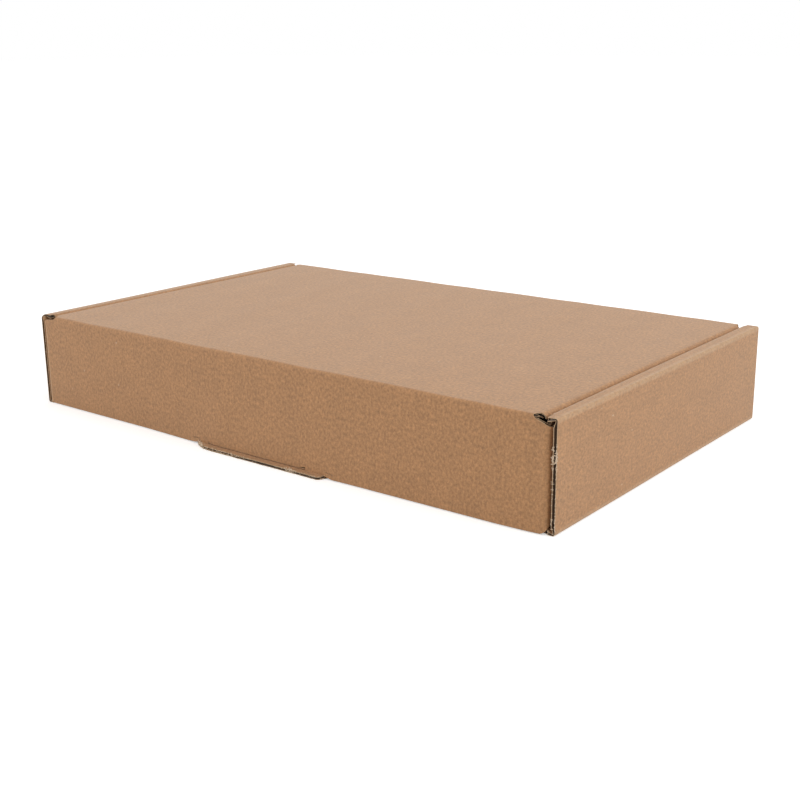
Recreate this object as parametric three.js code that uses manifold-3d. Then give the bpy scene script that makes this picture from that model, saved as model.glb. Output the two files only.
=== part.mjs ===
// Letterbox mailer box: one die-cut sheet of kraft corrugated board, folded up and shut.
// Millimetres, +Z up. The origin is the centre of the base's underside, the front is at -Y.

import * as THREE from 'three';
import { mergeVertices } from 'three/addons/utils/BufferGeometryUtils.js';
import Module from 'manifold-3d';

// Driving dimensions of the closed box, measured outside
const length = 243;
const depth = 147.5;
const height = 37;

// Board: its thickness, the inside radius of a crease, and the room between two layers
const board = 1.5;
const creaseRadius = 0.7;
const layerGap = 0.2;
const creaseSlit = 0.2;

// Lid: where its front and back creases end, its corner notches, and its dust flaps
const creaseInset = 8.5;
const lidNotch = 3.4;
const dustFlapDrop = 24;
const dustFlapInset = 6;
const dustFlapTaper = 9;

// Front flap: its shoulders beside the crease, its cut-off lower corners and its ears
const flapShoulder = 2.7;
const flapCorner = 2.6;
const flapLift = 0.3;
const earDrop = 2;
const earLift = 3;
const earClearance = 1;

// Tongue at the flap's foot, which locks through the front wall
const tongueReach = 5.5;
const tongueWidth = 48;
const tongueClearance = 0.3;
const tongueSlit = 0.8;

// Lock tab cut from the front wall's foot, which stays level with the base
const tabRootWidth = 65;
const tabTipWidth = 55;
const tabProud = 5.2;
const cutGap = 0.3;

// Corner flaps of the front and back walls, and the notches at the base's corners
const cornerFlapReach = 48;
const cornerFlapTaper = 6;
const cornerFlapDrop = 2;
const cornerFlapLift = 3;
const footNotch = 2.4;
const wallFootRise = 4;

// Feet of the inner side panels, which lock into slots in the base
const footWidth = 26;
const footSpacing = 76;
const footStop = 0.1;

// Steps in half a quarter turn of a crease, and in the ear's round outline
const creaseSteps = 3;
const earSteps = 8;

// Values worked out from the sizes above
const outerRadius = creaseRadius + board;
const frontPlane = -depth / 2;
const backPlane = depth / 2;
const sidePlane = length / 2;
const rollWidth = 4 * board + 3 * layerGap;
const innerPanelFace = sidePlane - rollWidth;
const flapSide = sidePlane - board - layerGap;
const frontWallFace = frontPlane + board + layerGap;
const frontWallSide = flapSide - board - layerGap;
const innerPanelFront = frontWallFace + board + layerGap;
const innerPanelBack = backPlane - board - layerGap;
const innerPanelFoot = board + layerGap;
const wallTop = height - outerRadius - creaseSlit;
const lidSide = innerPanelFace - layerGap;
const creaseEnd = sidePlane - creaseInset;
const flapTop = height - flapShoulder;
const ceiling = height - board;
const baseHalf = sidePlane - footNotch;

// Cutters reach this far past the box
const over = 10;

const wasm = await Module();
wasm.setup();

// Turns a closed geometry into a solid that can be joined and cut
function toSolid(geometry) {
  geometry.deleteAttribute('normal');
  geometry.deleteAttribute('uv');
  const merged = mergeVertices(geometry, 1e-4);
  const vertProperties = new Float32Array(merged.attributes.position.array);
  const triVerts = new Uint32Array(merged.index.array);
  return new wasm.Manifold(new wasm.Mesh({ numProp: 3, vertProperties, triVerts }));
}

// Turns that carry a drawn outline and its extrusion into the box's axes. An outline is
// drawn in X and Y for alongZ, in Y and Z for alongX, and in X and Z for alongY.
const alongZ = new THREE.Matrix4();
const alongX = new THREE.Matrix4().makeBasis(
  new THREE.Vector3(0, 1, 0), new THREE.Vector3(0, 0, 1), new THREE.Vector3(1, 0, 0));
const alongY = new THREE.Matrix4().makeBasis(
  new THREE.Vector3(1, 0, 0), new THREE.Vector3(0, 0, 1), new THREE.Vector3(0, -1, 0));

function extrude(shape, axis, from, to) {
  const geometry = new THREE.ExtrudeGeometry(shape, {
    depth: to - from,
    bevelEnabled: false,
    curveSegments: creaseSteps,
  });
  geometry.translate(0, 0, axis === alongY ? -to : from);
  geometry.applyMatrix4(axis);
  return toSolid(geometry);
}

function outline(points) {
  return new THREE.Shape(points.map(([across, up]) => new THREE.Vector2(across, up)));
}

function block(x0, x1, y0, y1, z0, z1) {
  const geometry = new THREE.BoxGeometry(x1 - x0, y1 - y0, z1 - z0);
  geometry.translate((x0 + x1) / 2, (y0 + y1) / 2, (z0 + z1) / 2);
  return toSolid(geometry);
}

// The same block at both ends of the box, between two distances from the middle
function sideBlocks(near, far, y0, y1, z0, z1) {
  return block(near, far, y0, y1, z0, z1).add(block(-far, -near, y0, y1, z0, z1));
}

// Section of a folded sheet. The points are the square corners of its outer face, on a
// path that turns left at each crease, and the board lies on the path's left.
function foldedSheet(points) {
  const corners = points.map(([across, up]) => new THREE.Vector2(across, up));
  const ways = corners.slice(1).map((corner, i) => corner.clone().sub(corners[i]).normalize());
  const lefts = ways.map((way) => new THREE.Vector2(-way.y, way.x));
  const bends = ways.slice(1).map((way, i) => {
    const centre = corners[i + 1].clone().addScaledVector(ways[i], -outerRadius);
    centre.addScaledVector(way, outerRadius);
    return { centre, start: Math.atan2(-lefts[i].y, -lefts[i].x) };
  });
  const shape = new THREE.Shape();
  shape.moveTo(corners[0].x, corners[0].y);
  bends.forEach(({ centre, start }) => {
    shape.absarc(centre.x, centre.y, outerRadius, start, start + Math.PI / 2, false);
  });
  const end = corners.at(-1);
  const endInside = end.clone().addScaledVector(lefts.at(-1), board);
  shape.lineTo(end.x, end.y);
  shape.lineTo(endInside.x, endInside.y);
  bends.reverse().forEach(({ centre, start }) => {
    shape.absarc(centre.x, centre.y, creaseRadius, start + Math.PI / 2, start, true);
  });
  const startInside = corners[0].clone().addScaledVector(lefts[0], board);
  shape.lineTo(startInside.x, startInside.y);
  return shape;
}

// Tray: the base with its rolled-over side walls. The inner side panels stop at the front
// and back walls, and the base stops short of the folds that carry those walls.
function baseAndSides() {
  const section = foldedSheet([
    [-innerPanelFace, innerPanelFoot], [-innerPanelFace, height],
    [-sidePlane, height], [-sidePlane, 0], [sidePlane, 0], [sidePlane, height],
    [innerPanelFace, height], [innerPanelFace, innerPanelFoot],
  ]);
  const foldFar = innerPanelFace + outerRadius;
  const foldNear = innerPanelFace - board;
  const foldFoot = board + layerGap / 2;
  const baseFront = frontWallFace + outerRadius;
  const baseBack = backPlane - outerRadius;
  return extrude(section, alongY, frontPlane, backPlane)
    .subtract(sideBlocks(foldNear, foldFar, frontPlane - over, innerPanelFront, foldFoot, height + over))
    .subtract(sideBlocks(foldNear, foldFar, innerPanelBack, backPlane + over, foldFoot, height + over))
    .subtract(block(-baseHalf, baseHalf, frontPlane - over, baseFront, -over, outerRadius))
    .subtract(block(-baseHalf, baseHalf, baseBack, backPlane + over, -over, outerRadius));
}

// Front and back walls, folded up from the base
function walls() {
  const section = foldedSheet([
    [frontWallFace, wallTop], [frontWallFace, 0], [backPlane, 0], [backPlane, wallTop],
  ]);
  const half = frontWallSide - outerRadius;
  return extrude(section, alongX, -half, half);
}

// Outline of a corner flap seen from the box's end, from its fold to its tapered tip
function cornerFlapOutline(fold, tip) {
  const taper = Math.sign(tip - fold) * cornerFlapTaper;
  const top = ceiling - cornerFlapDrop;
  return outline([
    [fold, cornerFlapLift], [tip - taper, cornerFlapLift],
    [tip, cornerFlapLift + cornerFlapTaper], [tip, top - cornerFlapTaper],
    [tip - taper, top], [fold, top],
  ]);
}

// A wall in plan with a corner flap folded back at each end, behind the front flap's ears
function frontCorners() {
  const tip = frontWallFace + cornerFlapReach;
  const fold = frontWallFace + outerRadius;
  const plan = foldedSheet([
    [-frontWallSide, tip], [-frontWallSide, frontWallFace],
    [frontWallSide, frontWallFace], [frontWallSide, tip],
  ]);
  const flaps = extrude(cornerFlapOutline(frontPlane, tip), alongX, -sidePlane, sidePlane);
  const wall = block(-sidePlane, sidePlane, frontPlane, fold, wallFootRise, wallTop);
  return extrude(plan, alongZ, 0, height).intersect(flaps.add(wall));
}

function backCorners() {
  const tip = backPlane - cornerFlapReach;
  const fold = backPlane - outerRadius;
  const plan = foldedSheet([
    [flapSide, tip], [flapSide, backPlane], [-flapSide, backPlane], [-flapSide, tip],
  ]);
  const flaps = extrude(cornerFlapOutline(backPlane, tip), alongX, -sidePlane, sidePlane);
  const wall = block(-sidePlane, sidePlane, fold, backPlane, wallFootRise, wallTop);
  return extrude(plan, alongZ, 0, height).intersect(flaps.add(wall));
}

// Slot in the front wall's foot, and the lock tab that was cut from it
function lockTabCut() {
  const slotTop = frontWallFace - frontPlane + tabProud;
  const foot = tabRootWidth / 2 + cutGap;
  const head = tabTipWidth / 2 + cutGap;
  const slot = outline([
    [-foot, -over], [foot, -over], [foot, board], [head, slotTop], [-head, slotTop], [-foot, board],
  ]);
  return extrude(slot, alongY, frontPlane - over, frontWallFace + outerRadius);
}

function lockTab() {
  const foot = tabRootWidth / 2;
  const head = tabTipWidth / 2;
  const root = frontWallFace + outerRadius + board;
  const tip = frontPlane - tabProud;
  const plan = outline([
    [-foot, root], [-foot, frontWallFace], [-head, tip], [head, tip], [foot, frontWallFace], [foot, root],
  ]);
  return extrude(plan, alongZ, 0, board);
}

// Slots in the base, and the feet of the inner side panels that stand in them
function footSlots() {
  const near = innerPanelFace - cutGap;
  const far = innerPanelFace + board + cutGap;
  const half = footWidth / 2 + cutGap;
  return [-1, 1].map((end) => end * footSpacing / 2)
    .map((place) => sideBlocks(near, far, place - half, place + half, -over, innerPanelFoot))
    .reduce((joined, slots) => joined.add(slots));
}

function feet() {
  const far = innerPanelFace + board;
  return [-1, 1].map((end) => end * footSpacing / 2)
    .map((place) => sideBlocks(
      innerPanelFace, far, place - footWidth / 2, place + footWidth / 2, footStop, innerPanelFoot + board))
    .reduce((joined, foot) => joined.add(foot));
}

function tray() {
  return baseAndSides()
    .add(walls())
    .add(frontCorners())
    .add(backCorners())
    .subtract(lockTabCut())
    .add(lockTab())
    .subtract(footSlots())
    .add(feet());
}

// Section of the lid with its back crease, and of the crease that carries the front flap
function lidAndFlap() {
  const section = foldedSheet([
    [backPlane, height - outerRadius], [backPlane, height], [frontPlane, height],
    [frontPlane, flapTop - board],
  ]);
  return extrude(section, alongX, -creaseEnd, creaseEnd);
}

// The lid and the front flap part on a slanting plane through the crease. Each side's
// wedge covers what lies on that side of the plane.
function flapSideWedge() {
  const start = frontPlane + creaseSlit / 2;
  const inside = outerRadius + board;
  return extrude(outline([
    [start - over, height + over], [start + inside, height - inside],
    [start + inside, height - over], [start - over, height - over],
  ]), alongX, -sidePlane, sidePlane);
}

function lidSideWedge() {
  const start = frontPlane - creaseSlit / 2;
  const inside = outerRadius + board;
  return extrude(outline([
    [start - over, height + over], [start + inside, height - inside],
    [backPlane + over, height - inside], [backPlane + over, height + over],
  ]), alongX, -sidePlane, sidePlane);
}

// Lid: its top, the crease at the back wall and a dust flap folded down at each side
function lid() {
  const front = frontPlane + lidNotch;
  const back = backPlane - lidNotch;
  const foot = height - dustFlapDrop;
  const section = foldedSheet([[lidSide, foot], [lidSide, height], [-lidSide, height], [-lidSide, foot]]);
  const flapFront = innerPanelFront + dustFlapInset;
  const flapBack = innerPanelBack - dustFlapInset;
  const dustFlap = outline([
    [flapFront, height], [flapFront, height - outerRadius - board],
    [flapFront + dustFlapTaper, foot], [flapBack - dustFlapTaper, foot],
    [flapBack, height - outerRadius - board], [flapBack, height],
  ]);
  const top = block(-sidePlane, sidePlane, front, back, height - outerRadius, height);
  const sides = extrude(section, alongY, front, back)
    .intersect(extrude(dustFlap, alongX, -sidePlane, sidePlane).add(top));
  return lidAndFlap().subtract(flapSideWedge()).add(sides);
}

// Outline of the front flap seen from the front, with its lower corners cut off
function flapOutline() {
  const foot = flapLift + flapCorner;
  const near = flapSide - flapCorner;
  return outline([
    [-near, flapLift], [near, flapLift], [flapSide, foot], [flapSide, flapTop],
    [-flapSide, flapTop], [-flapSide, foot],
  ]);
}

// Outline of an ear seen from the box's end. Its round edge is an arc about the crease,
// so that the ear swings out of its pocket without touching the base.
function earOutline() {
  const radius = height - board - earClearance;
  const top = height - ceiling + earDrop;
  const foot = height - earLift;
  const from = Math.atan2(-top, Math.sqrt(radius ** 2 - top ** 2));
  const to = Math.atan2(-foot, Math.sqrt(radius ** 2 - foot ** 2));
  const points = [[frontPlane, height - foot], [frontPlane, height - top]];
  for (let step = 0; step <= earSteps; step += 1) {
    const angle = from + (to - from) * step / earSteps;
    points.push([frontPlane + radius * Math.cos(angle), height + radius * Math.sin(angle)]);
  }
  return outline(points);
}

// The tongue's underside is high enough for its tip to swing clear of the base
function tongueFoot() {
  const swing = height - board - tongueClearance;
  return height - Math.sqrt(swing ** 2 - tongueReach ** 2);
}

function tongue() {
  const foot = tongueFoot();
  const section = foldedSheet([
    [frontPlane, foot + 2 * outerRadius], [frontPlane, foot], [frontPlane + tongueReach, foot],
  ]);
  return extrude(section, alongX, -tongueWidth / 2, tongueWidth / 2);
}

// Room above the lock tab, and a slit at each side of the tongue
function flapFootCut() {
  const overTab = tabRootWidth / 2 + cutGap;
  const besideTongue = tongueWidth / 2 + tongueSlit;
  const y0 = frontPlane - over;
  const y1 = frontPlane + outerRadius;
  return block(-overTab, overTab, y0, y1, -over, board + cutGap)
    .add(block(-besideTongue, besideTongue, y0, y1, -over, tongueFoot() + outerRadius));
}

// Front flap: its face, an ear folded back at each side, and the tongue at its foot
function frontFlap() {
  const earTip = frontPlane + height;
  const plan = foldedSheet([
    [-flapSide, earTip], [-flapSide, frontPlane], [flapSide, frontPlane], [flapSide, earTip],
  ]);
  const face = extrude(flapOutline(), alongY, frontPlane, frontPlane + outerRadius);
  const ears = extrude(earOutline(), alongX, -sidePlane, sidePlane);
  return extrude(plan, alongZ, 0, height)
    .intersect(face.add(ears))
    .add(lidAndFlap().subtract(lidSideWedge()))
    .subtract(flapFootCut())
    .add(tongue());
}

const kraft = { color: 0xb59468, roughness: 0.85, metalness: 0 };

// Turns a solid back into a named mesh
function namedMesh(name, solid) {
  const { vertProperties, triVerts } = solid.getMesh();
  const geometry = new THREE.BufferGeometry();
  geometry.setAttribute('position', new THREE.BufferAttribute(new Float32Array(vertProperties), 3));
  geometry.setIndex(new THREE.BufferAttribute(new Uint32Array(triVerts), 1));
  geometry.computeVertexNormals();
  const mesh = new THREE.Mesh(geometry, new THREE.MeshStandardMaterial(kraft));
  mesh.name = name;
  return mesh;
}

const box = new THREE.Group();
box.add(namedMesh('tray', tray()));
box.add(namedMesh('lid', lid()));
box.add(namedMesh('front_flap', frontFlap()));

export default box;
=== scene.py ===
import math

import bmesh
import bpy
import numpy as np
from mathutils import Matrix, Vector


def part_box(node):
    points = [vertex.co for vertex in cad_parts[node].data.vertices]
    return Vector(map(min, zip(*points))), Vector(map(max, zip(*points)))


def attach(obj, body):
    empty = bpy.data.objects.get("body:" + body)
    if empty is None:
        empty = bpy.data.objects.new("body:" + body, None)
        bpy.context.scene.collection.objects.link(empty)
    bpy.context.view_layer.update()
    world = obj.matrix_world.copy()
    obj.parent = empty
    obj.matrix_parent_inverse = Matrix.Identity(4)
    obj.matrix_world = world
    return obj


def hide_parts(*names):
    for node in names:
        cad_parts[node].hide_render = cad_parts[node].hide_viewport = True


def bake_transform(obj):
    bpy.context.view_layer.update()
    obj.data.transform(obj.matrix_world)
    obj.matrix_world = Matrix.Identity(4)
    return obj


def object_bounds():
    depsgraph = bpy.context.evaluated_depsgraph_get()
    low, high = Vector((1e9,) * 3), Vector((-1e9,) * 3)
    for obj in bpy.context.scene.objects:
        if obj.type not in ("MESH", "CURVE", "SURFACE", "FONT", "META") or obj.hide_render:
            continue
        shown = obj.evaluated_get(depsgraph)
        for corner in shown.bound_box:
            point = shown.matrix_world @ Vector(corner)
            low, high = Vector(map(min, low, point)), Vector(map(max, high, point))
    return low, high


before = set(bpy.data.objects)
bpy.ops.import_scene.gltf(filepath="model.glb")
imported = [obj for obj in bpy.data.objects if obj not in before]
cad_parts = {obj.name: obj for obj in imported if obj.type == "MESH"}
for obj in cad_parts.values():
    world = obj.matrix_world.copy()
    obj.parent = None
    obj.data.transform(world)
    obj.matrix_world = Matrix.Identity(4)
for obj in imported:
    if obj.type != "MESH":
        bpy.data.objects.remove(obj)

cad_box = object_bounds()

# Kraft board. The whole box is one sheet of fine-fluted corrugated board, about 1.5 mm
# thick: an outer liner and an inner liner of unbleached kraft paper, with a fluted paper
# glued between them. Its flutes run along the box's length.
mm = 0.001
board = 1.5 * mm
liner = 0.26 * mm
flute_paper = 0.2 * mm
flute_pitch = 3.3 * mm
flute_step = flute_pitch / 8
hidden_step = flute_pitch / 5
flute_quad = 9 * mm
flute_recess = 0.15 * mm
flute_end_gap = 0.1 * mm
glue_overlap = 0.02 * mm
quad = 4 * mm
sheet_unit = 100 * mm
fold_spread = 2.2 * mm
fold_inner_radius = 0.1 * mm
bend_steps = 6
smooth_below = math.radians(35)
kraft_brown = (0.366, 0.18, 0.069)
kraft_light = (0.47, 0.25, 0.112)
kraft_dark = (0.276, 0.123, 0.042)
fleck_white = (0.52, 0.37, 0.24)
fleck_dark = (0.14, 0.07, 0.035)
fleck_rarity = (0.8, 0.95)
# Paler colour at the folds: rubbed wear together with a painted highlight along the folds' outer
# edges
fold_rub_and_highlight = (0.56, 0.4, 0.25)
cut_colour = (0.5, 0.34, 0.21)
cut_shade = 0.6
sheen_tint = (1.0, 0.95, 0.86, 1.0)
ripple_scale = 0.005 / flute_pitch
strip_narrowing = 1.25 * mm
lid_drop = 0.1 * mm
lid_ripple = 0.05 * mm
lid_dip = 0.25 * mm
crease_waver = 0.07 * mm
wall_waver = 0.04 * mm

side_plane, back_plane, lid_plane = np.array(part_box("tray")[1])


def links(tree):
    """Adds a node with its inputs set by name, and joins sockets given in place of values."""
    def add(kind, inputs=(), **settings):
        node = tree.nodes.new(kind)
        for name, value in settings.items():
            setattr(node, name, value)
        for name, value in dict(inputs).items():
            socket = node.inputs[name]
            if isinstance(value, bpy.types.NodeSocket):
                tree.links.new(value, socket)
            else:
                socket.default_value = value
        return node
    return add


def blank_material(name):
    """A material with an empty node tree, and the function that adds nodes to it."""
    material = bpy.data.materials.new(name)
    material.use_nodes = True
    material.node_tree.nodes.clear()
    return material, links(material.node_tree)


def kraft_paper(name, tint=1.0, fibre_bump=0.35):
    """Unbleached kraft liner: long fibres across the flutes, cloudy mottling, sparse flecks,
    and a paler surface at the folds, partly rubbed wear and partly a painted highlight."""
    material, add = blank_material(name)
    sheet = add("ShaderNodeUVMap", uv_map="sheet").outputs["UV"]

    def cloud(scale, detail, across=1.0, along=1.0, rough=0.6):
        where = add("ShaderNodeMapping", {"Vector": sheet, "Scale": (across, along, 1.0)})
        noise = add("ShaderNodeTexNoise", {
            "Vector": where.outputs["Vector"], "Scale": scale, "Detail": detail,
            "Roughness": rough})
        return noise.outputs["Fac"]

    def remap(value, low, high, to_low=0.0, to_high=1.0):
        node = add("ShaderNodeMapRange", {
            "Value": value, "From Min": low, "From Max": high,
            "To Min": to_low, "To Max": to_high})
        return node.outputs["Result"]

    def calculate(operation, first, second):
        return add("ShaderNodeMath", {0: first, 1: second}, operation=operation).outputs[0]

    def blend(factor, first, second):
        return add("ShaderNodeMix", {0: factor, 6: first, 7: second}, data_type="RGBA").outputs[2]

    def flecks(scale, shift, size):
        where = add("ShaderNodeMapping", {
            "Vector": sheet, "Scale": (1.0, 0.6, 1.0), "Location": (shift, shift, 0.0)})
        cells = add("ShaderNodeTexVoronoi", {"Vector": where.outputs["Vector"], "Scale": scale})
        small = remap(cells.outputs["Distance"], size * 0.5, size, 1.0, 0.0)
        rare = add("ShaderNodeSeparateColor", {"Color": cells.outputs["Color"]})
        return calculate("MULTIPLY", small, remap(rare.outputs["Red"], *fleck_rarity))

    def shading(value, amount):
        return remap(value, 0.3, 0.7, 1 - amount, 1 + amount)

    def tinted(colour, share=tint):
        return [channel * share for channel in colour] + [1.0]

    fibres = cloud(150.0, 5.0, along=0.55, rough=0.8)
    grain = cloud(105.0, 4.0, along=0.75, rough=0.7)
    mottle = cloud(9.0, 4.0)
    streaks = cloud(26.0, 3.0, along=0.2)
    colour = blend(remap(fibres, 0.25, 0.75), tinted(kraft_dark), tinted(kraft_light))
    colour = blend(0.3, colour, tinted(kraft_brown))
    shade = calculate("MULTIPLY", shading(mottle, 0.05), shading(grain, 0.34))
    shade = calculate("MULTIPLY", shade, shading(streaks, 0.04))
    shaded = add("ShaderNodeVectorMath", {0: colour, "Scale": shade}, operation="SCALE")
    # Folds are paler in patches: rubbed wear, and a painted highlight where the fold's outer edge
    # catches the light
    folded = add("ShaderNodeAttribute", attribute_name="folded").outputs["Fac"]
    rub_highlight_patches = remap(cloud(70.0, 5.0, across=0.8, along=0.8, rough=0.8), 0.4, 0.65, 0.35, 1.0)
    rub_and_highlight = calculate("MULTIPLY", remap(folded, 0.55, 1.0, 0.0, 0.5), rub_highlight_patches)
    colour = blend(rub_and_highlight, shaded.outputs[0], tinted(fold_rub_and_highlight, 1.0))
    colour = blend(flecks(24.0, 0.0, 0.085), colour, tinted(fleck_white, 1.0))
    colour = blend(flecks(14.0, 3.7, 0.06), colour, tinted(fleck_dark, 1.0))

    ripples = add("ShaderNodeTexWave", {
        "Vector": sheet, "Scale": ripple_scale, "Distortion": 0.6, "Detail": 1.0},
        bands_direction="Y").outputs["Fac"]
    relief = calculate("ADD", fibres, remap(mottle, 0.0, 1.0, to_high=1.6))
    relief = calculate("ADD", relief, remap(ripples, 0.0, 1.0, to_high=0.25))
    bump = add("ShaderNodeBump", {
        "Height": relief, "Strength": fibre_bump, "Distance": 0.12 * mm})
    finish = add("ShaderNodeBsdfPrincipled", {
        "Base Color": colour, "Roughness": remap(fibres, 0.2, 0.8, 0.55, 0.7),
        "Normal": bump.outputs["Normal"], "Specular IOR Level": 0.5, "Sheen Weight": 0.26,
        "Sheen Roughness": 0.45, "Sheen Tint": sheen_tint})
    add("ShaderNodeOutputMaterial", {"Surface": finish.outputs["BSDF"]})
    return material


def cut_paper(name, colour, dark_share):
    """The raw cut through the board: fuzzy torn fibre, paler than the liner's face."""
    material, add = blank_material(name)
    place = add("ShaderNodeTexCoord").outputs["Object"]
    fuzz = add("ShaderNodeTexNoise", {
        "Vector": place, "Scale": 900.0, "Detail": 3.0, "Roughness": 0.7}).outputs["Fac"]
    ramp = add("ShaderNodeValToRGB", {"Fac": fuzz})
    dark_stop, pale_stop = ramp.color_ramp.elements
    dark_stop.position = dark_share
    dark_stop.color = [channel * cut_shade for channel in colour] + [1.0]
    pale_stop.position = dark_share + 0.25
    pale_stop.color = list(colour) + [1.0]
    bump = add("ShaderNodeBump", {"Height": fuzz, "Strength": 0.6, "Distance": 0.15 * mm})
    finish = add("ShaderNodeBsdfPrincipled", {
        "Base Color": ramp.outputs["Color"], "Roughness": 0.95,
        "Normal": bump.outputs["Normal"], "Specular IOR Level": 0.1})
    add("ShaderNodeOutputMaterial", {"Surface": finish.outputs["BSDF"]})
    return material


kraft_face = kraft_paper("kraft_liner")
# The flute paper and the liners' faces inside the board are painted at three tenths of the
# liner's brightness: painted shade of the hollows between the flutes
flutes_painted_shade = kraft_paper("kraft_flute_paper_painted_shade", tint=0.3, fibre_bump=0.2)
kraft_cut = cut_paper("kraft_cut_edge", cut_colour, 0.25)
face_slot, flute_slot, cut_slot = range(3)


def fold_path(corners, radii):
    """Outer face of a folded sheet in section, from its square corners on a path that turns
    left at each fold: points, outward normals, lengths along it, and the share of the board's
    thickness that is left. A tight fold crushes the board."""
    corners = [np.array(corner, float) for corner in corners]
    ways = [(b - a) / np.linalg.norm(b - a) for a, b in zip(corners, corners[1:])]
    radii = [0.0] + list(radii) + [0.0]
    near_fold = [share * fold_spread for share in (0.25, 0.6, 1.0)]
    points, normals, folds = [], [], []
    for i, way in enumerate(ways):
        outward = np.array([way[1], -way[0]])
        start = corners[i] + radii[i] * way
        reach = np.linalg.norm(corners[i + 1] - radii[i + 1] * way - start)
        count = max(1, math.ceil(reach / quad))
        stops = {reach * k / count for k in range(count + 1)}
        if 2 * fold_spread < reach:
            stops |= {stop for k in near_fold for stop in (k, reach - k)}
        for stop in sorted(stops):
            points.append(start + stop * way)
            normals.append(outward)
        if i == len(ways) - 1:
            break
        radius = radii[i + 1]
        folds.append(len(points) - 1)
        centre = start + reach * way - radius * outward
        for k in range(1, bend_steps):
            turn = math.pi / 2 * k / bend_steps
            normal = math.cos(turn) * outward + math.sin(turn) * way
            points.append(centre + radius * normal)
            normals.append(normal)
    points, normals = np.array(points), np.array(normals)
    steps = np.linalg.norm(np.diff(points, axis=0), axis=1)
    along = np.concatenate([[0], np.cumsum(steps)])
    starts = [along[index] for index in folds]
    ends = [along[index + bend_steps] for index in folds]
    thick = np.ones(len(along))
    for radius, first, last in zip(radii[1:], starts, ends):
        left = min(1.0, (radius - fold_inner_radius) / board)
        away = np.clip(np.maximum(first - along, along - last) / fold_spread, 0, 1)
        thick = np.minimum(thick, left + (1 - left) * away * away * (3 - 2 * away))
    return {"points": points, "normals": normals, "along": along, "thick": thick,
            "starts": starts, "ends": ends}


def on_path(path, stops):
    """Points, normals and shares of thickness at the given lengths along a path."""
    def sample(values):
        return np.stack([np.interp(stops, path["along"], column) for column in values.T], axis=1)

    normals = sample(path["normals"])
    thick = np.interp(stops, path["along"], path["thick"])
    return sample(path["points"]), normals / np.linalg.norm(normals, axis=1)[:, None], thick


# Carries a section's two coordinates and the third one into the box's axes
section_xz = lambda flat, cross: np.stack([flat[..., 0], cross, flat[..., 1]], axis=-1)
section_yz = lambda flat, cross: np.stack([cross, flat[..., 0], flat[..., 1]], axis=-1)
section_xy = lambda flat, cross: np.stack([flat[..., 0], flat[..., 1], cross], axis=-1)


def shell(path, stops, low, high, count, place, outer_depth, inner_depth, sheet_of, sides):
    """One paper of the board between two depths under its outer face, as a closed slab."""
    flat, normals, thick = on_path(path, stops)
    share = np.linspace(0, 1, count + 1)
    cross = low(stops)[:, None] * (1 - share) + high(stops)[:, None] * share
    grids = []
    for depth in (outer_depth, inner_depth):
        depths = depth(stops[:, None] + 0 * cross, cross) * thick[:, None]
        sunk = flat[:, None, :] - normals[:, None, :] * depths[..., None]
        grids.append(place(sunk, cross).reshape(-1, 3))
    rows, columns = cross.shape
    index = np.arange(rows * columns).reshape(rows, columns)
    under = index + rows * columns
    faces, slots = [], []

    def patch(a, b, c, d, slot):
        quads = np.stack([a.ravel(), b.ravel(), c.ravel(), d.ravel()], axis=1)
        faces.append(quads)
        slots.append(np.full(len(quads), slot))

    for grid, slot in zip((index, under), sides):
        patch(grid[:-1, :-1], grid[1:, :-1], grid[1:, 1:], grid[:-1, 1:], slot)
    for edge, below in ((index[0], under[0]), (index[-1], under[-1]),
                        (index[:, 0], under[:, 0]), (index[:, -1], under[:, -1])):
        patch(edge[:-1], edge[1:], below[1:], below[:-1], cut_slot)
    uv = sheet_of(stops[:, None] + 0 * cross, cross).reshape(-1, 2)
    folded = np.repeat((1 - thick) / max(1e-6, 1 - path["thick"].min()), columns)
    return {"points": np.concatenate(grids), "faces": np.concatenate(faces),
            "slots": np.concatenate(slots), "uv": np.concatenate([uv, uv]),
            "folded": np.tile(folded, 2)}


def corrugated(path, start, stop, low, high, place, flutes_cross=True, recess=flute_recess):
    """A panel of board: two liners with a fluted paper between them. low and high are its
    cut edges, as numbers or as functions of the length along the path."""
    ends = [edge if callable(edge) else (lambda stops, value=edge: np.full(len(stops), value))
            for edge in (low, high)]
    both = np.array([start, stop])
    widest = np.max(ends[1](both) - ends[0](both))
    inside = (path["along"] > start + 1e-6) & (path["along"] < stop - 1e-6)
    stops = np.concatenate([[start], path["along"][inside], [stop]])

    def sheet_of(along, cross):
        return np.stack([cross, along] if flutes_cross else [along, cross], axis=-1) / sheet_unit

    def level(depth):
        return lambda along, cross: np.full(cross.shape, depth)

    def fluted(shift):
        def depth(along, cross):
            over, beside = (along, cross) if flutes_cross else (cross, along)
            wander = 1.4 * np.sin(beside / (23 * mm)) + 0.9 * np.sin(beside / (7.3 * mm) + 1.1)
            return board / 2 + swing * np.sin(2 * math.pi * over / flute_pitch + wander) + shift
        return depth

    count = max(1, math.ceil(widest / quad))
    papers = [
        shell(path, stops, *ends, count, place, level(outer), level(inner), sheet_of, sides)
        for outer, inner, sides in ((0.0, liner, (face_slot, flute_slot)),
                                    (board - liner, board, (flute_slot, face_slot)))]
    swing = board / 2 - liner - flute_paper / 2 + glue_overlap
    inner_low = lambda stops: ends[0](stops) + recess
    inner_high = lambda stops: ends[1](stops) - recess
    if flutes_cross:
        first, last = start + recess, stop - recess
        fine = np.linspace(first, last, max(1, math.ceil((last - first) / flute_step)) + 1)
        across = max(1, math.ceil(widest / flute_quad))
    else:
        fine = stops.copy()
        fine[0] += flute_end_gap
        fine[-1] -= flute_end_gap
        across = max(1, math.ceil(widest / hidden_step))
    wave = shell(path, fine, inner_low, inner_high, across, place, fluted(-flute_paper / 2),
                 fluted(flute_paper / 2), sheet_of, (flute_slot, flute_slot))
    return papers + [wave]


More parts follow.
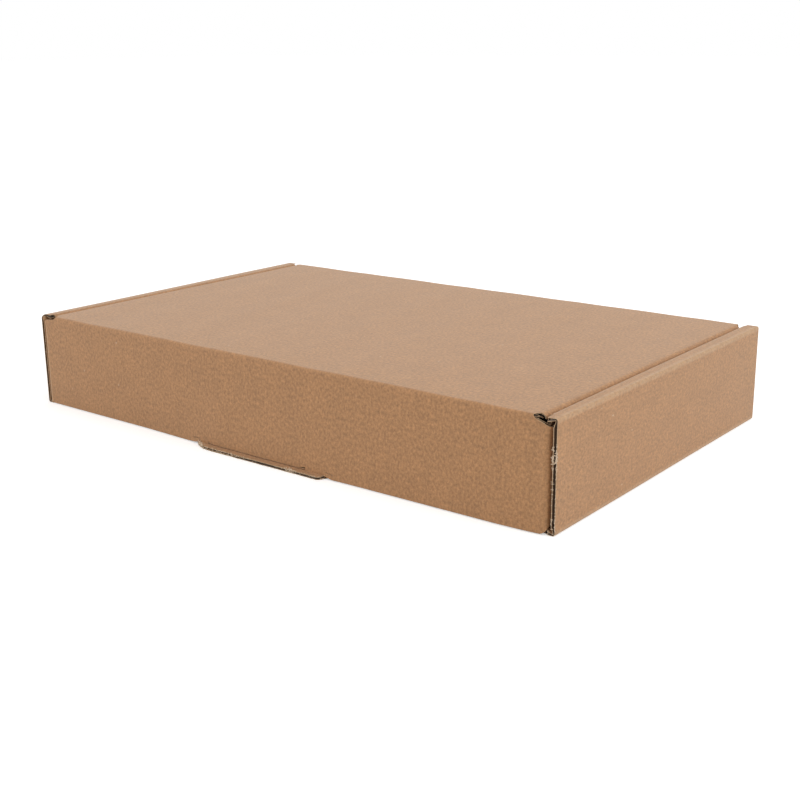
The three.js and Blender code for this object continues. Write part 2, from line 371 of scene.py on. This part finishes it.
def settle(points):
    """How the folded sheet has settled: creases that waver, a lid that dips a little, and
    rolled-over strips that are narrower towards the front."""
    x, y, z = points.T
    outward, reach = np.sign(x), np.abs(x)
    shift = np.zeros_like(points)
    near_top = np.clip((z - 31 * mm) / (4 * mm), 0, 1)
    strip = np.clip((reach - 100 * mm) / (11 * mm), 0, 1)
    strip *= np.clip((side_plane - 1.8 * mm - reach) / (3 * mm), 0, 1)
    front_share = np.clip((back_plane - y) / (2 * back_plane), 0, 1.1)
    shift[:, 0] = outward * near_top * strip * strip_narrowing * front_share ** 1.5
    at_side = np.clip((reach - 118 * mm) / (3 * mm), 0, 1)
    wall_waves = 1 + np.sin(y / (19 * mm) + z / (9 * mm))
    shift[:, 0] -= outward * at_side * wall_waver * wall_waves
    top = np.clip((z - 33 * mm) / (2 * mm), 0, 1)
    lid_waves = 1 + np.sin(x / (41 * mm)) * np.cos(y / (33 * mm))
    crease_waves = np.sin(x / (17 * mm) + 0.5) + np.sin(x / (6.1 * mm) + y / (31 * mm))
    amid = np.clip(1 - (reach / (105 * mm)) ** 4, 0, 1) * np.cos(y / (48 * mm)) ** 2
    shift[:, 2] = -top * (lid_drop + lid_ripple * lid_waves + crease_waver * np.abs(crease_waves)
                          + lid_dip * amid)
    return points + shift


def sheet_object(name, panels, settled=settle):
    """Joins panels into one piece of the folded sheet."""
    papers = [paper for panel in panels for paper in panel]
    offsets = np.cumsum([0] + [len(paper["points"]) for paper in papers])
    points = settled(np.concatenate([paper["points"] for paper in papers]))
    faces = np.concatenate([paper["faces"] + offset for paper, offset in zip(papers, offsets)])
    mesh = bpy.data.meshes.new(name)
    mesh.from_pydata(points.tolist(), [], faces.tolist())
    corners = np.empty(len(mesh.loops), int)
    mesh.loops.foreach_get("vertex_index", corners)
    uv = np.concatenate([paper["uv"] for paper in papers])
    mesh.uv_layers.new(name="sheet").data.foreach_set("uv", uv[corners].ravel())
    folded = np.concatenate([paper["folded"] for paper in papers]).astype(np.float32)
    mesh.attributes.new("folded", "FLOAT", "POINT").data.foreach_set("value", folded)
    for material in (kraft_face, flutes_painted_shade, kraft_cut):
        mesh.materials.append(material)
    slots = np.concatenate([paper["slots"] for paper in papers])
    mesh.polygons.foreach_set("material_index", slots)
    solid = bmesh.new()
    solid.from_mesh(mesh)
    bmesh.ops.recalc_face_normals(solid, faces=solid.faces)
    solid.to_mesh(mesh)
    solid.free()
    mesh.shade_smooth()
    mesh.set_sharp_from_angle(angle=smooth_below)
    piece = bpy.data.objects.new(name, mesh)
    bpy.context.scene.collection.objects.link(piece)
    return piece


# Torn fibres. The die tears the board's cut edges: pale fuzz and small torn bits stand on
# them, most of all at the near corner's edge and along the lock tab.
torn_colour = (0.66, 0.52, 0.38)
fibre_density = 1.2e6
fibre_shortest = 0.06 * mm
fibre_longest = 0.4 * mm
fibre_growth = 0.45
any_turn = (6.28, 6.28, 6.28)
worn_spots = (  # place and reach in mm, and how much more is torn there
    ((120.8, -73.7, 25.4), 1.7, 26), ((120.8, -73.7, 3.0), 3.0, 5),
    ((120.8, -73.7, 14.0), 8.0, 3), ((-27.0, -77.6, 0.9), 3.2, 14),
    ((19.0, -78.9, 0.8), 2.0, 16), ((-12.0, -78.9, 0.8), 9.0, 5), ((30.5, -78.6, 0.8), 2.5, 6))
kraft_torn = cut_paper("kraft_torn_fibre", torn_colour, 0.2)


def torn_fibre_tree():
    """Scatters small crumbs of torn paper over the faces in one material slot, more and
    larger ones where the wear attribute is high."""
    tree = bpy.data.node_groups.new("torn_fibres", "GeometryNodeTree")
    for name, kind in (("Geometry", "Geometry"), ("Density", "Float"), ("Shortest", "Float"),
                       ("Longest", "Float"), ("Seed", "Int"), ("Paper", "Material"),
                       ("Cut slot", "Int")):
        tree.interface.new_socket(name, in_out="INPUT", socket_type="NodeSocket" + kind)
    tree.interface.new_socket("Geometry", in_out="OUTPUT", socket_type="NodeSocketGeometry")
    add = links(tree)
    given = add("NodeGroupInput").outputs
    slot_now = add("GeometryNodeInputMaterialIndex").outputs[0]
    # Sockets 2 and 3 are the Compare node's whole numbers
    on_cut = add("FunctionNodeCompare", {2: slot_now, 3: given["Cut slot"]},
                 data_type="INT", operation="EQUAL")
    wear = add("GeometryNodeInputNamedAttribute", {"Name": "wear"}, data_type="FLOAT")
    wear = wear.outputs["Attribute"]
    dense = add("ShaderNodeMath", {0: given["Density"], 1: wear}, operation="MULTIPLY")
    scatter = add("GeometryNodeDistributePointsOnFaces", {
        "Mesh": given["Geometry"], "Selection": on_cut.outputs["Result"],
        "Density": dense.outputs[0], "Seed": given["Seed"]})
    grown = add("ShaderNodeMath", {0: wear, 1: fibre_growth}, operation="POWER")
    short, long = given["Shortest"], given["Longest"]
    low = add("ShaderNodeCombineXYZ", {"X": short, "Y": short, "Z": short})
    high = add("ShaderNodeCombineXYZ", {"X": long, "Y": short, "Z": short})
    sizes = add("FunctionNodeRandomValue", {"Min": low.outputs[0], "Max": high.outputs[0]},
                data_type="FLOAT_VECTOR")
    scaled = add("ShaderNodeVectorMath", {0: sizes.outputs["Value"], "Scale": grown.outputs[0]},
                 operation="SCALE")
    turns = add("FunctionNodeRandomValue", {"Min": (0, 0, 0), "Max": any_turn},
                data_type="FLOAT_VECTOR")
    crumb = add("GeometryNodeMeshIcoSphere", {"Radius": 1.0, "Subdivisions": 1})
    placed = add("GeometryNodeInstanceOnPoints", {
        "Points": scatter.outputs["Points"], "Instance": crumb.outputs["Mesh"],
        "Rotation": turns.outputs["Value"], "Scale": scaled.outputs[0]})
    real = add("GeometryNodeRealizeInstances", {"Geometry": placed.outputs["Instances"]})
    dressed = add("GeometryNodeSetMaterial", {
        "Geometry": real.outputs["Geometry"], "Material": given["Paper"]})
    add("NodeGroupOutput", {"Geometry": dressed.outputs["Geometry"]})
    return tree


torn_fibres = torn_fibre_tree()


def fray(name, piece, seed):
    """Grows torn fibres on a piece's cut edges, as a plain mesh of its own."""
    points = np.array([vertex.co for vertex in piece.data.vertices])
    wear = np.ones(len(points))
    for place, reach, more in worn_spots:
        away = np.linalg.norm(points - np.array(place) * mm, axis=1) / (reach * mm)
        wear += more * np.exp(-away ** 2)
    worn = piece.data.attributes.new("wear", "FLOAT", "POINT")
    worn.data.foreach_set("value", wear.astype(np.float32))
    grower = bpy.data.objects.new(name + "_grower", piece.data)
    bpy.context.scene.collection.objects.link(grower)
    modifier = grower.modifiers.new("fibres", "NODES")
    modifier.node_group = torn_fibres
    keys = {item.name: item.identifier for item in torn_fibres.interface.items_tree
            if item.in_out == "INPUT"}
    for key, value in (
            ("Density", fibre_density), ("Shortest", fibre_shortest),
            ("Longest", fibre_longest), ("Seed", seed), ("Paper", kraft_torn),
            ("Cut slot", cut_slot)):
        modifier[keys[key]] = value
    bpy.context.view_layer.update()
    evaluated = grower.evaluated_get(bpy.context.evaluated_depsgraph_get())
    mesh = bpy.data.meshes.new_from_object(evaluated)
    fibres = bpy.data.objects.new(name, mesh)
    bpy.data.objects.remove(grower)
    corners = np.array([vertex.co for vertex in mesh.vertices])
    held = np.clip(corners, cad_box[0], cad_box[1])
    mesh.vertices.foreach_set("co", held.astype(np.float32).ravel())
    mesh.update()
    bpy.context.scene.collection.objects.link(fibres)
    return fibres


# Side walls. Each is folded up from the base, rolled over a narrow strip on top and folded
# down again inside, where two feet lock into slots in the base. The strips' ends and the
# walls' cut edges show the board's layers at the front and back corners.
layer_gap = 0.2 * mm
cut_gap = 0.3 * mm
fold_tight = 0.8 * mm
fold_soft = 2.0 * mm
cut_recess = 2.5 * mm
front_plane = -back_plane
roll_width = 4 * board + 3 * layer_gap
inner_face = side_plane - roll_width
wall_gap = board + layer_gap
front_wall = front_plane + wall_gap
inner_front = front_wall + wall_gap
inner_back = back_plane - wall_gap
foot_notch = 2.4 * mm
base_seam = side_plane - 8 * mm
foot_width = 26 * mm
foot_spacing = 76 * mm
foot_stop = 0.1 * mm
base_front = front_wall + fold_tight
base_back = back_plane - fold_tight
wall_inset = 0.1 * mm
strip_recess = 1.7 * mm
strip_slant = 0.3 * mm
corner_slant = 1.2 * mm
corner_insets = (1.0 * mm, 0.9 * mm, wall_inset)


def mirrored(flat_place, side, turn=1.0):
    """The same section on the right (1) or, turned over, on the left (-1)."""
    return lambda flat, cross: flat_place(flat * np.array([side, turn]), cross)


side_panels = []
side_path = fold_path([
    (base_seam, 0), (side_plane, 0), (side_plane, lid_plane), (inner_face, lid_plane),
    (inner_face, foot_stop)], [fold_tight, fold_tight, fold_soft])
side_stop = side_path["along"][-1]
slot_near = inner_face - cut_gap - base_seam
slot_far = inner_face + board + cut_gap - base_seam
notch_start = side_plane - foot_notch - base_seam
inner_fold = side_path["starts"][2]
inner_foot = side_stop - (wall_gap - foot_stop)
foot_centres = (-foot_spacing / 2, foot_spacing / 2)
slot_half = foot_width / 2 + cut_gap
between_slots = (
    (base_front, foot_centres[0] - slot_half),
    (foot_centres[0] + slot_half, foot_centres[1] - slot_half),
    (foot_centres[1] + slot_half, base_back))
corner_front = lambda at: np.interp(
    at, [slot_far, notch_start - corner_slant, notch_start],
    [front_plane + inset for inset in corner_insets])
left_front = lambda at: front_plane + np.interp(
    at, [side_path["starts"][1] - strip_slant, side_path["ends"][1]], [wall_inset, strip_recess])
for side, wall_front in ((-1, left_front), (1, front_plane + wall_inset)):
    place = mirrored(section_xz, side)
    side_panels.append(corrugated(
        side_path, 0, slot_near, base_front, base_back, place, False))
    side_panels.append(corrugated(
        side_path, slot_far, notch_start, corner_front, base_back, place, False))
    for low, high in between_slots:
        side_panels.append(corrugated(side_path, slot_near, slot_far, low, high, place, False))
    side_panels.append(corrugated(
        side_path, notch_start, inner_fold, wall_front, back_plane, place, False, cut_recess))
    side_panels.append(corrugated(
        side_path, inner_fold, inner_foot, inner_front, inner_back, place, False))
    for centre in foot_centres:
        side_panels.append(corrugated(
            side_path, inner_foot, side_stop, centre - foot_width / 2, centre + foot_width / 2,
            place, False))
side_walls = sheet_object("side_walls", side_panels)
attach(side_walls, "box")
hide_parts("tray")
side_fibres = fray("side_wall_fibres", side_walls, 3)
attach(side_fibres, "box")
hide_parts("tray")

# Base, front wall and back wall. The walls are folded up from the base between the side
# walls, and a corner flap at each end of a wall is folded back into the side wall. The
# front wall has a slot at its foot, where the lock tab was cut out.
wall_drop = 0.9 * mm
corner_play = 0.75 * mm
wall_top = lid_plane - board - wall_drop
flap_side = side_plane - wall_gap
front_wall_side = flap_side - wall_gap - corner_play
fold_half = front_wall_side - fold_soft
tab_root = 65 * mm
tab_tip = 55 * mm
tab_proud = 5.2 * mm
slot_height = wall_gap + tab_proud
corner_reach = 48 * mm
corner_taper = 6 * mm
corner_notch = 4.4 * mm
corner_lift = 3 * mm
corner_top = lid_plane - board - 2 * mm
wall_foot = 0.1 * mm

wall_path = fold_path([
    (front_wall, wall_top), (front_wall, 0), (back_plane, 0), (back_plane, wall_top)],
    [fold_tight, fold_tight])
slot_stop = wall_top - slot_height
front_fold_end = wall_path["ends"][0]
back_fold_start = wall_path["starts"][1]


def slot_edge(at):
    """Half the slot's width in the front wall, which narrows towards the tab's tip."""
    tip_share = np.clip(1 - (at - slot_stop) / (wall_top - slot_stop), 0, 1)
    return tab_root / 2 + cut_gap - (tab_root - tab_tip) / 2 * tip_share


def top_edge(at):
    """Half the front wall's width, with its top corners cut off."""
    return fold_half - corner_notch * np.clip(1 - at / corner_notch, 0, 1)


def corner_flap_edges(fold_end, flap_end):
    """Lower and upper edge of a wall's end and its corner flap, along the path in plan."""
    stops = [0, fold_end - 0.4 * fold_soft, fold_end, flap_end - corner_taper, flap_end]
    lower = [wall_foot, wall_foot, corner_lift, corner_lift, corner_lift + corner_taper]
    upper = [wall_top - corner_notch, wall_top - corner_notch, corner_top - 3 * mm, corner_top,
             corner_top - corner_taper]
    return (lambda at: np.interp(at, stops, lower)), (lambda at: np.interp(at, stops, upper))


wall_panels = [
    corrugated(wall_path, start, stop, low, high, section_yz) for start, stop, low, high in (
        (0, slot_stop, lambda at: -top_edge(at), top_edge),
        (slot_stop, front_fold_end, -fold_half, lambda at: -slot_edge(at)),
        (slot_stop, front_fold_end, slot_edge, fold_half),
        (front_fold_end, back_fold_start, -base_seam, base_seam),
        (back_fold_start, wall_path["along"][-1], -fold_half, fold_half))]
front_plan = fold_path([
    (fold_half, front_wall), (front_wall_side, front_wall),
    (front_wall_side, front_wall + corner_reach)], [fold_soft])
back_plan = fold_path([
    (fold_half, -back_plane), (flap_side, -back_plane), (flap_side, -back_plane + corner_reach)],
    [fold_soft])
for plan, turn in ((front_plan, 1), (back_plan, -1)):
    flap_end = plan["along"][-1]
    edges = corner_flap_edges(plan["ends"][0], flap_end)
    for side in (-1, 1):
        wall_panels.append(corrugated(
            plan, 0, flap_end, *edges, mirrored(section_xy, side, turn), False))
base_and_walls = sheet_object("base_and_walls", wall_panels)
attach(base_and_walls, "box")
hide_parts("tray")

# Lock tab. It was cut from the front wall's foot and stays level with the base, so it sticks
# out under the front flap. Die cutting has crushed it a little and torn its front edge.
tab_front = front_plane - tab_proud
tab_crush = 0.2
tab_raggedness = 0.12 * mm
tab_stops = np.array([0.4, 0.5, 1.9, 4.3, 5.2, 7.2]) * mm
tab_left = np.array([22.6, 24.6, 27.7, 31.6, 32.5, 32.5]) * mm
tab_right = np.array([31.0, 31.7, 32.4, 33.3, 33.0, 32.5]) * mm


def crushed(points):
    """The tab is thinner towards its front edge, which wavers as a torn edge does."""
    out = points.copy()
    x, y, z = points.T
    front_share = np.clip((front_plane - y) / tab_proud, 0, 1)
    out[:, 2] *= 1 - tab_crush * front_share
    ragged = np.sin(x / (1.3 * mm)) * np.sin(x / (4.7 * mm) + 900 * z)
    out[:, 1] += front_share * tab_raggedness * (1 + ragged)
    return out


tab_path = fold_path([(tab_front, 0), (base_front, 0)], [])
tab_panels = [corrugated(
    tab_path, 0, tab_path["along"][-1], lambda at: -np.interp(at, tab_stops, tab_left),
    lambda at: np.interp(at, tab_stops, tab_right), section_yz)]
lock_tab = sheet_object("lock_tab", tab_panels, crushed)
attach(lock_tab, "box")
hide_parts("tray")
tab_fibres = fray("lock_tab_fibres", lock_tab, 5)
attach(tab_fibres, "box")
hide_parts("tray")

# Lid. It is hinged at the back wall's top crease, lies level with the rolled-over strips and
# has a dust flap at each side, folded down inside the side wall. Its corners are notched.
lid_side = inner_face - layer_gap
lid_notch = 2.9 * mm
lid_back_notch = 2.2 * mm
lid_hem = 2 * mm
lid_corner = 114.2 * mm
lid_back_end = side_plane - 8.2 * mm
lid_front_corner = lid_corner - 1.4 * mm
lid_front_end = 111.6 * mm
crease_radius = 1.2 * mm
lid_seam = lid_side - 3 * mm
dust_drop = 24 * mm
dust_inset = 6 * mm
dust_taper = 9 * mm
dust_fold = 1.7 * mm

lid_path = fold_path([
    (back_plane, lid_plane - fold_tight - lid_hem), (back_plane, lid_plane),
    (front_plane, lid_plane), (front_plane, 0)], [fold_tight, crease_radius])
lid_back_fold = lid_path["ends"][0]
lid_front_fold = lid_path["starts"][1]
back_notch_end = lid_back_fold + lid_back_notch - fold_tight
front_notch_end = lid_front_fold - (lid_notch - crease_radius)
back_edge = lambda at: np.interp(
    at, [lid_back_fold, back_notch_end], [lid_back_end, lid_corner])
front_edge = lambda at: np.interp(
    at, [front_notch_end, lid_front_fold], [lid_front_corner, lid_front_end])
lid_panels = [
    corrugated(lid_path, 0, back_notch_end, lambda at: -back_edge(at), back_edge, section_yz),
    corrugated(lid_path, back_notch_end, front_notch_end, -lid_seam, lid_seam, section_yz),
    corrugated(lid_path, front_notch_end, lid_front_fold, lambda at: -front_edge(at), front_edge,
               section_yz)]
dust_path = fold_path([
    (lid_side, lid_plane - dust_drop), (lid_side, lid_plane), (lid_seam, lid_plane)],
    [dust_fold])
dust_start, dust_end = dust_path["starts"][0], dust_path["along"][-1]
dust_stops = [0, dust_start - board, dust_start, dust_end]
lid_front = front_plane + lid_notch
lid_back = back_plane - lid_back_notch
dust_low = [inner_front + dust_inset + dust_taper, inner_front + dust_inset, lid_front, lid_front]
dust_high = [inner_back - dust_inset - dust_taper, inner_back - dust_inset, lid_back, lid_back]
for side in (-1, 1):
    lid_panels.append(corrugated(
        dust_path, 0, dust_end, lambda at: np.interp(at, dust_stops, dust_low),
        lambda at: np.interp(at, dust_stops, dust_high), mirrored(section_xz, side), False))
lid = sheet_object("lid_panel", lid_panels)
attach(lid, "box")
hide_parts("lid")

# Front flap. It hangs from the lid's front crease and covers the whole front. An ear at each
# side is folded back into a pocket of the side wall, and a tongue at its foot goes through
# the front wall's slot above the lock tab. It bows out a little over the tab.
flap_corner = 2.6 * mm
flap_lift = 0.3 * mm
flap_bow = 3.1 * mm
bow_reach = 6 * mm
bow_places = (-119, -60, -34, -19, 26, 45, 103, 112, 119)
bow_shares = (0.05, 0.2, 0.5, 1, 1, 0.8, 0.65, 0.5, 0.3)
ear_top = corner_top
ear_lift = 3 * mm
ear_radius = lid_plane - board - 1 * mm
ear_rounding = 0.4
tongue_reach = 5.5 * mm
tongue_width = 48 * mm
tongue_foot = 1.35 * mm
tongue_fold = 0.6 * mm
tongue_slit = 0.12 * mm
foot_lift = 1.0 * mm
foot_zone = 6 * mm
lifted_part = (-32.5 * mm, -30.5 * mm, 33.0 * mm, 34.2 * mm)
flap_top = lid_plane - crease_radius
ear_insets = {-1: 0.05 * mm, 1: 0.9 * mm}
ear_folds = {-1: fold_tight, 1: fold_soft}
seam_gap = 0.5 * mm
flap_seams = {side: flap_side - ear_insets[side] - ear_folds[side] - seam_gap
              for side in (-1, 1)}
shoulder_start = 112.7 * mm
shoulder_slopes = {-1: 0.11, 1: 0.345}


def bowed(points):
    """The flap follows the lid's settling at its crease, bows out towards its foot, and its
    foot rides up over the lock tab."""
    out = settle(points)
    x, y, z = points.T
    drop = np.clip((flap_top - z) / flap_top, 0, 1)
    across = np.interp(x / mm, bow_places, bow_shares)
    near_face = np.clip((front_plane + bow_reach - y) / bow_reach, 0, 1)
    out[:, 1] -= flap_bow * drop ** 1.5 * across * near_face
    rise = np.interp(x, lifted_part, [0, 1, 1, 0])
    off_tongue = np.abs(x) > tongue_width / 2 + tongue_slit / 2
    out[:, 2] += foot_lift * rise * off_tongue * np.clip(1 - z / foot_zone, 0, 1)
    return out


flap_stop = lid_path["ends"][1]
foot_at = lambda height: flap_stop + flap_top - height
tongue_path = fold_path([
    (front_plane, flap_top), (front_plane, tongue_foot),
    (front_plane + tongue_reach, tongue_foot)], [tongue_fold])
besides = tongue_width / 2 + tongue_slit
slit_top = foot_at(tongue_foot + tongue_fold)
flap_edge = lambda side: lambda at: side * np.minimum(
    shoulder_start + (at - flap_stop) / shoulder_slopes[side], flap_seams[side])
flap_panels = [
    corrugated(lid_path, flap_stop, slit_top, flap_edge(-1), flap_edge(1), section_yz),
    corrugated(tongue_path, slit_top - flap_stop, tongue_path["along"][-1],
               -tongue_width / 2, tongue_width / 2, section_yz)]
for side in (-1, 1):
    low, high = sorted((side * besides, side * flap_seams[side]))
    flap_panels.append(corrugated(
        lid_path, slit_top, foot_at(flap_lift), low, high, section_yz))

ear_deep = lid_plane - ear_top
for side in (-1, 1):
    seam, radius = flap_seams[side], ear_folds[side]
    ear_side = flap_side - ear_insets[side]
    ear_plan = fold_path([
        (seam, front_plane), (ear_side, front_plane), (ear_side, front_plane + ear_radius)],
        [radius])
    fold, start = ear_plan["starts"][0], ear_plan["ends"][0]
    tip = start + math.sqrt(ear_radius ** 2 - ear_deep ** 2) - radius
    seam_top = flap_top - shoulder_slopes[side] * (seam - shoulder_start)

    def ear_upper(at):
        return np.interp(at, [0, fold, start], [seam_top, seam_top - 0.2 * mm, ear_top])

    def ear_lower(at):
        reach = np.clip(ear_radius ** 2 - (at - start + radius) ** 2, ear_deep ** 2, None)
        swing = lid_plane - np.sqrt(reach)
        rounding = fold + ear_rounding * (start - fold)
        corner = np.interp(at, [fold, rounding, start],
                           [flap_lift, flap_lift + 0.5 * mm, flap_lift + flap_corner])
        return np.where(at <= start, corner, np.maximum(swing, ear_lift))

    flap_panels.append(corrugated(
        ear_plan, 0, tip, ear_lower, ear_upper, mirrored(section_xy, side), False))
front_flap = sheet_object("front_flap_panel", flap_panels, bowed)
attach(front_flap, "front_flap")
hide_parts("front_flap")

# Front crease. The scored line where the sheet turns from the lid into the front flap. It
# bends with the flap, and its ends slope down to the flap's shoulders.
crease_middle = lid_front_fold + 0.5 * (flap_stop - lid_front_fold)
crease_edge = lambda at: np.interp(
    at, [lid_front_fold, crease_middle, flap_stop],
    [lid_front_end, lid_front_end, shoulder_start])
crease_panels = [corrugated(
    lid_path, lid_front_fold, flap_stop, lambda at: -crease_edge(at), crease_edge, section_yz)]
front_crease = sheet_object("front_crease", crease_panels, bowed)
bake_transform(front_crease)
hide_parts("front_flap", "lid")

# Floor and light: a plain pale floor, a white surround and soft lamps, at a plain level.
floor_size = 16.0
floor_grey = 0.82
floor_lift = 0.42
world_level = 0.72
white = (1.0, 1.0, 1.0, 1.0)


def seen_directly(add):
    """1 for what the camera sees, also in a mirror or through glass, and 0 for other rays."""
    rays = add("ShaderNodeLightPath").outputs
    seen = rays["Is Camera Ray"]
    for kind in ("Is Glossy Ray", "Is Transmission Ray"):
        seen = add("ShaderNodeMath", {0: seen, 1: rays[kind]}, operation="MAXIMUM").outputs[0]
    return seen


def soft_lamp(name, place, size, power, colour):
    """A square lamp that points at the middle of the box."""
    lamp = bpy.data.lights.new(name, "AREA")
    lamp.shape = "SQUARE"
    lamp.size = size
    lamp.energy = power
    lamp.color = colour
    holder = bpy.data.objects.new(name, lamp)
    bpy.context.scene.collection.objects.link(holder)
    holder.location = place
    aim = Vector((0, 0, lid_plane / 2)) - holder.location
    holder.rotation_euler = aim.to_track_quat("-Z", "Y").to_euler()


floor_material, add = blank_material("pale_floor")
lift = add("ShaderNodeMath", {0: seen_directly(add), 1: floor_lift}, operation="MULTIPLY")
matt = add("ShaderNodeBsdfDiffuse", {"Color": (floor_grey, floor_grey, floor_grey, 1.0)})
glow = add("ShaderNodeEmission", {"Color": white, "Strength": lift.outputs[0]})
both = add("ShaderNodeAddShader", {0: matt.outputs[0], 1: glow.outputs[0]})
add("ShaderNodeOutputMaterial", {"Surface": both.outputs[0]})
bpy.ops.mesh.primitive_plane_add(size=floor_size, location=(0, 0, 0))
floor = bpy.context.object
floor.name = "floor"
floor.data.materials.append(floor_material)

surround = bpy.data.worlds.new("surround")
bpy.context.scene.world = surround
surround.use_nodes = True
surround.node_tree.nodes.clear()
add = links(surround.node_tree)
strength = add("ShaderNodeMapRange", {
    "Value": seen_directly(add), "To Min": world_level, "To Max": 1.0})
background = add("ShaderNodeBackground", {
    "Color": white, "Strength": strength.outputs["Result"]})
add("ShaderNodeOutputWorld", {"Surface": background.outputs[0]})

soft_lamp("lamp_above", place=(0.35, 0.25, 1.1), size=0.9, power=3.5, colour=(1.0, 0.985, 0.93))
soft_lamp("lamp_right", place=(1.2, -0.05, 0.5), size=0.7, power=4.1, colour=(0.95, 1.0, 1.04))
soft_lamp("lamp_front", place=(-0.6, -0.95, 0.45), size=0.7, power=2.6, colour=(1.0, 0.96, 0.9))

# Camera at the photograph's viewpoint, worked out from the box's corners in the photograph.
camera_azimuth = math.radians(38.09)
camera_elevation = math.radians(16.35)
camera_roll = math.radians(-0.57)
camera_place = (0.29634, -0.37097, 0.14341)
camera_lens = 55.58
ahead = Vector((
    -math.sin(camera_azimuth) * math.cos(camera_elevation),
    math.cos(camera_azimuth) * math.cos(camera_elevation), -math.sin(camera_elevation)))
level_right = ahead.cross(Vector((0, 0, 1))).normalized()
level_up = level_right.cross(ahead)
camera_right = level_right * math.cos(camera_roll) + level_up * math.sin(camera_roll)
camera_up = level_up * math.cos(camera_roll) - level_right * math.sin(camera_roll)
turn = Matrix((camera_right, camera_up, -ahead)).transposed().to_4x4()
lens = bpy.data.cameras.new("camera")
lens.lens = camera_lens
camera = bpy.data.objects.new("camera", lens)
camera.matrix_world = Matrix.Translation(camera_place) @ turn
bpy.context.scene.collection.objects.link(camera)
bpy.context.scene.camera = camera
bpy.context.scene.view_settings.view_transform = "Standard"
